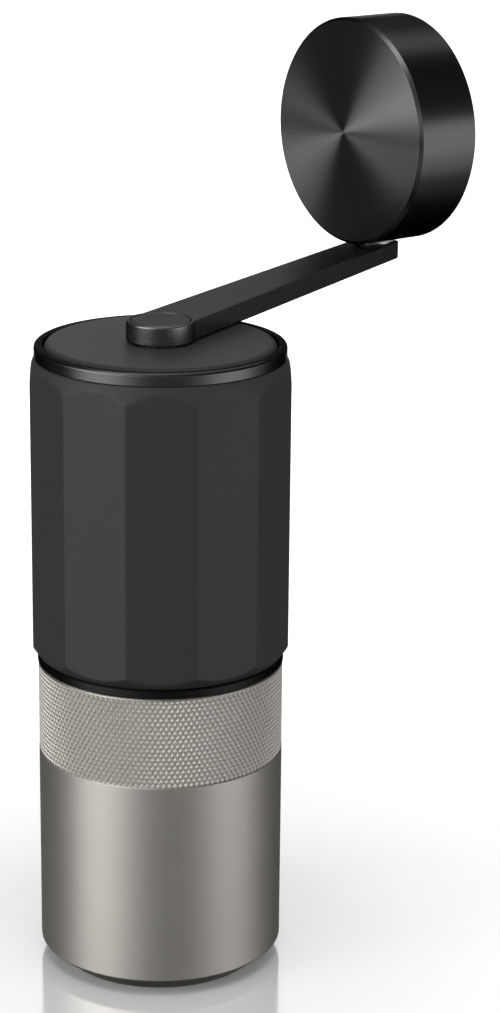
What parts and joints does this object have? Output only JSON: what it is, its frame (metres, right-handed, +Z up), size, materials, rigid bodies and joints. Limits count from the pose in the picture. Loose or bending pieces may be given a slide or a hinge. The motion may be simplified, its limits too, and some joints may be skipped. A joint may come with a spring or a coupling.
{
  "type": "hand crank coffee grinder",
  "caption": "Slim upright hand coffee grinder with a faceted soft grip, a knurled metal catch cup and a lift-off crank with a round knob standing on edge.",
  "frame": {"origin": "centre of the cup foot, on the surface the grinder stands on", "axes": "+Z up along the drive shaft, +X along the crank arm at rest"},
  "size_m": [0.1448, 0.0564, 0.2017],
  "materials": {
    "cup_metal": "bead-blasted and anodised, warm grey",
    "black_metal": "satin black anodised",
    "plain_metal": "turned and milled",
    "steel": "ground",
    "grip_rubber": "matte silicone",
    "black_plastic": "matte moulded",
    "bush_plastic": "natural acetal"
  },
  "bodies": {
    "cup": {"catch_cup": "cup_metal"},
    "body": {"body_tube": "black_metal", "grip_sleeve": "grip_rubber", "burr_housing": "black_metal", "ring_burr": "steel", "burr_retaining_ring": "steel", "upper_bridge": "plain_metal", "lower_bridge": "plain_metal", "upper_bridge_screws": "steel", "lower_bridge_screws": "steel", "upper_bearing_outer_race": "steel", "lower_bearing_outer_race": "steel"},
    "shaft": {"drive_shaft": "steel", "upper_bearing_inner_race": "steel", "lower_bearing_inner_race": "steel", "spring_washer": "steel", "burr_spring": "steel"},
    "upper_balls": {"upper_bearing_balls": "steel", "upper_bearing_cage": "steel"},
    "lower_balls": {"lower_bearing_balls": "steel", "lower_bearing_cage": "steel"},
    "burr": {"cone_burr": "steel", "click_plate": "steel"},
    "dial": {"adjust_dial": "plain_metal", "detent_balls": "steel", "detent_springs": "steel"},
    "lid": {"hopper_lid": "black_plastic", "lid_seal": "grip_rubber"},
    "crank": {"crank_arm": "black_metal", "crank_socket": "steel", "hub_screw": "steel", "hub_cap": "black_metal", "knob_spindle": "steel", "spindle_screw": "steel", "spindle_clip": "steel"},
    "knob": {"knob_shell": "black_metal", "knob_back_plate": "black_metal", "knob_core": "black_plastic", "knob_bush": "bush_plastic"}
  },
  "joints": [
    {"name": "cup_pull", "type": "slide", "parent": "cup", "child": "body", "axis": [0, 0, 1], "range_m": [0, 0.04]},
    {"name": "crank_turn", "type": "hinge", "parent": "body", "child": "shaft", "pos_m": [0, 0, 0], "axis": [0, 0, 1], "continuous": true},
    {"name": "crank_lift", "type": "slide", "parent": "shaft", "child": "crank", "axis": [0, 0, 1], "range_m": [0, 0.03]},
    {"name": "knob_spin", "type": "hinge", "parent": "crank", "child": "knob", "pos_m": [0.0983, 0, 0.147], "axis": [0, 0, 1], "continuous": true},
    {"name": "lid_lift", "type": "slide", "parent": "body", "child": "lid", "axis": [0, 0, 1], "range_m": [0, 0.015]},
    {"name": "burr_slide", "type": "slide", "parent": "shaft", "child": "burr", "axis": [0, 0, 1], "range_m": [0, 0.00125], "deforming": ["burr_spring"]},
    {"name": "dial_turn", "type": "hinge", "parent": "burr", "child": "dial", "pos_m": [0, 0, 0], "axis": [0, 0, 1], "range_deg": [0, 900]},
    {"name": "upper_balls_roll", "type": "hinge", "parent": "body", "child": "upper_balls", "pos_m": [0, 0, 0], "axis": [0, 0, 1], "continuous": true},
    {"name": "lower_balls_roll", "type": "hinge", "parent": "body", "child": "lower_balls", "pos_m": [0, 0, 0], "axis": [0, 0, 1], "continuous": true}
  ],
  "couplings": [
    {"joint": "lid_lift", "follows": "crank_lift", "ratio": 0.5},
    {"joint": "burr_slide", "follows": "dial_turn", "m_per_rad": 0.000079577},
    {"joint": "upper_balls_roll", "follows": "crank_turn", "ratio": 0.41667},
    {"joint": "lower_balls_roll", "follows": "crank_turn", "ratio": 0.41667}
  ]
}
